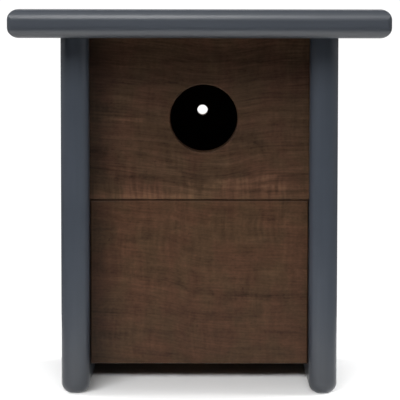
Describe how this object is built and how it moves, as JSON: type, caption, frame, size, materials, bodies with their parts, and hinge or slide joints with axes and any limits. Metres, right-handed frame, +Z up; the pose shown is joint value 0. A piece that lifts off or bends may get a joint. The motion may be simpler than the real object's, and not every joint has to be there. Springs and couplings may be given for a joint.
{
  "type": "birdhouse",
  "caption": "Small nest box with a flat slab roof, side boards that run down as feet, a round entrance hole and a lower front that pivots open for cleaning.",
  "frame": {"origin": "on the ground, under the middle of the roof slab, which is the box's bottom centre", "axes": "+Z up, front with the entrance hole faces -Y, +X to the right of someone facing the front"},
  "size_m": [0.2108, 0.165, 0.2169],
  "materials": {
    "grey_paint": "satin slate-grey paint on smooth board",
    "dark_stained_wood": "dark walnut stain on planed, faintly figured wood, low sheen",
    "stainless_steel": "plain stainless wood screws",
    "nickel": "nickel-plated magnet"
  },
  "bodies": {
    "house": {"roof": "grey_paint", "left_side": "grey_paint", "right_side": "grey_paint", "back_panel": "dark_stained_wood", "floor_panel": "dark_stained_wood", "upper_front": "dark_stained_wood", "left_pivot_screw": "stainless_steel", "right_pivot_screw": "stainless_steel", "left_roof_screws": "stainless_steel", "right_roof_screws": "stainless_steel", "left_front_screws": "stainless_steel", "right_front_screws": "stainless_steel", "left_back_screws": "stainless_steel", "right_back_screws": "stainless_steel", "left_floor_screws": "stainless_steel", "right_floor_screws": "stainless_steel", "catch_magnet": "nickel"},
    "door": {"lower_front": "dark_stained_wood", "strike_plate": "stainless_steel", "strike_screw": "stainless_steel"}
  },
  "joints": [
    {"name": "door_hinge", "type": "hinge", "parent": "house", "child": "door", "pos_m": [0, -0.03705, 0.0812], "axis": [-1, 0, 0], "range_deg": [0, 140]}
  ]
}
